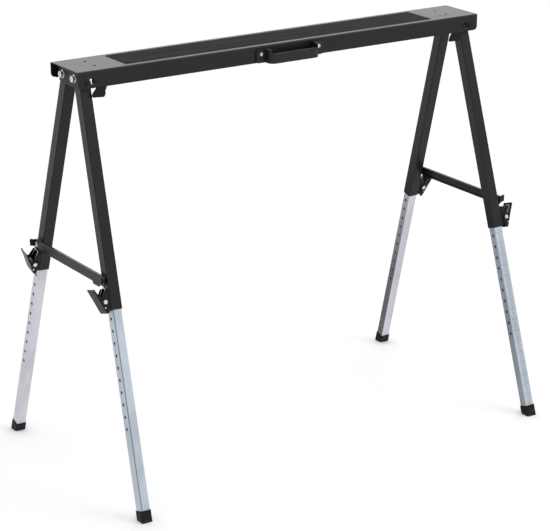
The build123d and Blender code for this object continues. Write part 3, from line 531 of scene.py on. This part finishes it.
# %% Give the strip under the ribs a rounded edge
def rounded_block(name, low, high, radius, segments, material, body):
    """A closed block with rounded edges, as one mesh at the origin."""
    shape = bmesh.new()
    bmesh.ops.create_cube(shape, size=1.0)
    for vert in shape.verts:
        vert.co = [(a + b) / 2 + c * (b - a) for a, b, c in zip(low, high, vert.co)]
    bmesh.ops.bevel(shape, geom=shape.edges[:], offset=radius, segments=segments,
                    profile=0.5, affect="EDGES")
    mesh = bpy.data.meshes.new(name)
    shape.to_mesh(mesh)
    shape.free()
    mesh.materials.append(material)
    block = bpy.data.objects.new(name, mesh)
    bpy.context.scene.collection.objects.link(block)
    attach(block, body)
    return block


strip = rounded_block("mat_strip", mat_low, mat_high - Vector((0, 0, RIB_RADIUS)), STRIP_ROUNDING, 2,
                      finishes["ribbed_rubber"], "frame")
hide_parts("anti_slip_mat")
print("mat strip", [round(b - a, 4) for a, b in zip(mat_low, mat_high)])

# %% [markdown]
# ## Springs
#
# Each leg lock has a torsion spring: one wire that winds round the rivet, runs up to a bail that
# leans on the bracket, and comes back down the other side. A second bail of the same wire rides
# on the lever. A wire is a path with a round section, so a poly curve with a bevel is enough.

# %% Wind the wires
SPRING_WIRE = 0.0007
SPRING_RADIUS = 0.0042
SPRING_SPREAD = 0.0055
COIL_WIDTH = 0.0030
SPRING_TURNS = 2.25
SPRING_TOP = Vector((-0.0072, 0, 0.0265))
LEVER_ARM_START = Vector((0.0040, 0, 0.0020))
LEVER_ARM_TOP = Vector((0.0186, 0, 0.0230))
LEVER_ARM_SPREAD = 0.0085


def winding(centre, radius, width, turns, start, steps=20):
    """Points of a helix about the local Y axis, from angle start, in local coordinates."""
    count = int(turns * steps)
    points = []
    for i in range(count + 1):
        angle = start + 2 * math.pi * turns * i / count
        along = width * (i / count - 0.5)
        points.append(Vector((centre[0] + radius * math.cos(angle), centre[1] + along,
                              centre[2] + radius * math.sin(angle))))
    return points


def other_side(points):
    """The same points on the other side of the lever, in the order that carries the wire on."""
    return [Vector((p.x, -p.y, p.z)) for p in reversed(points)]


def wire_piece(name, points, radius, place, body):
    """A closed round wire through points, moved to its place."""
    curve = bpy.data.curves.new(name, "CURVE")
    curve.dimensions = "3D"
    curve.bevel_depth = radius
    curve.bevel_resolution = 3
    curve.use_fill_caps = True
    spline = curve.splines.new("POLY")
    spline.points.add(len(points) - 1)
    for target, point in zip(spline.points, points):
        target.co = (*point, 1.0)
    draft = bpy.data.objects.new(name + "_draft", curve)
    bpy.context.scene.collection.objects.link(draft)
    graph = bpy.context.evaluated_depsgraph_get()
    mesh = bpy.data.meshes.new_from_object(draft.evaluated_get(graph), depsgraph=graph)
    bpy.data.objects.remove(draft)
    mesh.transform(place)
    mesh.materials.clear()
    mesh.materials.append(finishes["zinc_hardware"])
    mesh.shade_smooth()
    wire = bpy.data.objects.new(name, mesh)
    bpy.context.scene.collection.objects.link(wire)
    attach(wire, body)
    return wire


for leg, (origin, out, across, up) in legs.items():
    pivot = origin + out * LEVER_PIVOT_OUT + up * LEVER_PIVOT_UP
    place = Matrix((out, across, up)).transposed().to_4x4()
    place.translation = pivot
    half = winding((0, SPRING_SPREAD, 0), SPRING_RADIUS, COIL_WIDTH, SPRING_TURNS, -math.pi / 2)
    half.append(SPRING_TOP + Vector((0, SPRING_SPREAD + COIL_WIDTH / 2, 0)))
    wire = half + other_side(half)
    spring = wire_piece(leg + "_coil_spring", wire, SPRING_WIRE, place, leg + "_upper")
    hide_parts(leg + "_lock_spring")
    arm = [end + Vector((0, LEVER_ARM_SPREAD, 0)) for end in (LEVER_ARM_START, LEVER_ARM_TOP)]
    bail = arm + other_side(arm)
    wire_piece(leg + "_lever_bail", bail, SPRING_WIRE, place, leg + "_lever")
print(len(legs), "lock springs,", len(wire), "points each")

# %% [markdown]
# ## Floor, light and camera
#
# A product like this is shot on white with big soft lights, so that black paint reads by what it
# reflects. The floor is one large matte sheet. The world is a soft dome with a brighter band
# behind, which lays a sheen on the top of the beam. One big soft light from the front right
# gives the faces their order of brightness, and puts a faint shadow under each foot.
#
# Two things here are not physical. Reflections leave the floor out, and a black flag behind the
# sawhorse shows in reflections only. Together they keep the tubes from washing out to white.

# %% The floor
def studio_sheet(name, corners, material):
    """A flat sheet that belongs to the studio, not to the sawhorse."""
    mesh = bpy.data.meshes.new(name)
    mesh.from_pydata(corners, [], [(0, 1, 2, 3)])
    mesh.materials.append(material)
    sheet = bpy.data.objects.new(name, mesh)
    bpy.context.scene.collection.objects.link(sheet)
    return sheet


FLOOR_HALF = 30.0
paper = Tree("studio paper", Specular_IOR_Level=0.1)
fibre = paper.noise(60.0, detail=4.0)
paper.set(Base_Color=paper.mix(fibre, (0.93, 0.93, 0.93), (0.95, 0.95, 0.95)),
          Roughness=fibre * 0.1 + 0.8)
floor = studio_sheet("floor", [(-FLOOR_HALF, -FLOOR_HALF, 0), (FLOOR_HALF, -FLOOR_HALF, 0),
                               (FLOOR_HALF, FLOOR_HALF, 0), (-FLOOR_HALF, FLOOR_HALF, 0)],
                     paper.material)
floor.visible_glossy = False
print("floor", 2 * FLOOR_HALF, "m square")

# %% The dome of light
DOME_GLOW = 0.91
BAND_GLOW = 1.05


def dome_light(world):
    world.use_nodes = True
    dome = Nodes(world.node_tree)
    direction = dome.coordinates("Generated")
    x, y, z = dome.split(direction)
    band = (y * 0.8 + x * 0.5).ramp(0.1, 0.8) * z.ramp(0.02, 0.3) * (1.0 - z.ramp(0.5, 0.8))
    colour = dome.mix(z.ramp(-0.3, 0.5), (0.99, 0.99, 1.0), (1.0, 1.0, 1.0))
    background = dome.node("ShaderNodeBackground",
                           {"Color": colour, "Strength": DOME_GLOW + band * BAND_GLOW})
    dome.node("ShaderNodeOutputWorld", {"Surface": Sock(dome, background.outputs[0])})


world = bpy.data.worlds.new("studio dome")
bpy.context.scene.world = world
dome_light(world)
print("dome", DOME_GLOW, "and", BAND_GLOW, "more in the band behind")

# %% The flag
FLAG_LEFT, FLAG_RIGHT = -0.50, 0.62
FLAG_BOTTOM = -1.2
FLAG_TOP_LEFT, FLAG_TOP_RIGHT = 0.02, 0.34
FLAG_BACK = 0.75
felt = Tree("black felt", Specular_IOR_Level=0.0)
nap = felt.noise(90.0, detail=4.0)
felt.set(Base_Color=felt.mix(nap, (0.05, 0.052, 0.05), (0.08, 0.082, 0.08)),
         Roughness=nap * 0.1 + 0.9)
flag = studio_sheet("flag", [(FLAG_LEFT, FLAG_BACK, FLAG_BOTTOM),
                             (FLAG_RIGHT, FLAG_BACK, FLAG_BOTTOM),
                             (FLAG_RIGHT, FLAG_BACK, FLAG_TOP_RIGHT),
                             (FLAG_LEFT, FLAG_BACK, FLAG_TOP_LEFT)], felt.material)
flag.visible_camera = flag.visible_diffuse = flag.visible_shadow = False
print("flag", round(FLAG_RIGHT - FLAG_LEFT, 2), "m wide")

# %% The key light
KEY_PLACE = Vector((2.2, -2.6, 3.4))
KEY_AIM = Vector((0, 0, 0.5))
key_lamp = bpy.data.lights.new("key", "AREA")
key_lamp.shape = "SQUARE"
key_lamp.size = 2.4
key_lamp.energy = 36.0
key = bpy.data.objects.new("key", key_lamp)
key.location = KEY_PLACE
key.rotation_euler = (KEY_AIM - KEY_PLACE).to_track_quat("-Z", "Y").to_euler()
bpy.context.scene.collection.objects.link(key)
print("one soft key", key_lamp.size, "m wide")

# %% The camera
CAMERA_AZIMUTH = -33.159
CAMERA_HEIGHT_ANGLE = 18.755
CAMERA_ROLL = -0.185
CAMERA_PLACE = (-2.38295, -3.64806, 1.84889)
lens = bpy.data.cameras.new("camera")
lens.sensor_width = 36.0
lens.lens = 137.44
lens.clip_end = 200.0
camera = bpy.data.objects.new("camera", lens)
bpy.context.scene.collection.objects.link(camera)
turn = (Matrix.Rotation(math.radians(CAMERA_AZIMUTH), 3, "Z")
        @ Matrix.Rotation(math.radians(90 - CAMERA_HEIGHT_ANGLE), 3, "X")
        @ Matrix.Rotation(math.radians(CAMERA_ROLL), 3, "Z"))
camera.location = CAMERA_PLACE
camera.rotation_euler = turn.to_euler()
bpy.context.scene.camera = camera
bpy.context.scene.view_settings.view_transform = "Standard"
print("camera", [round(v, 3) for v in camera.location], "lens", lens.lens)
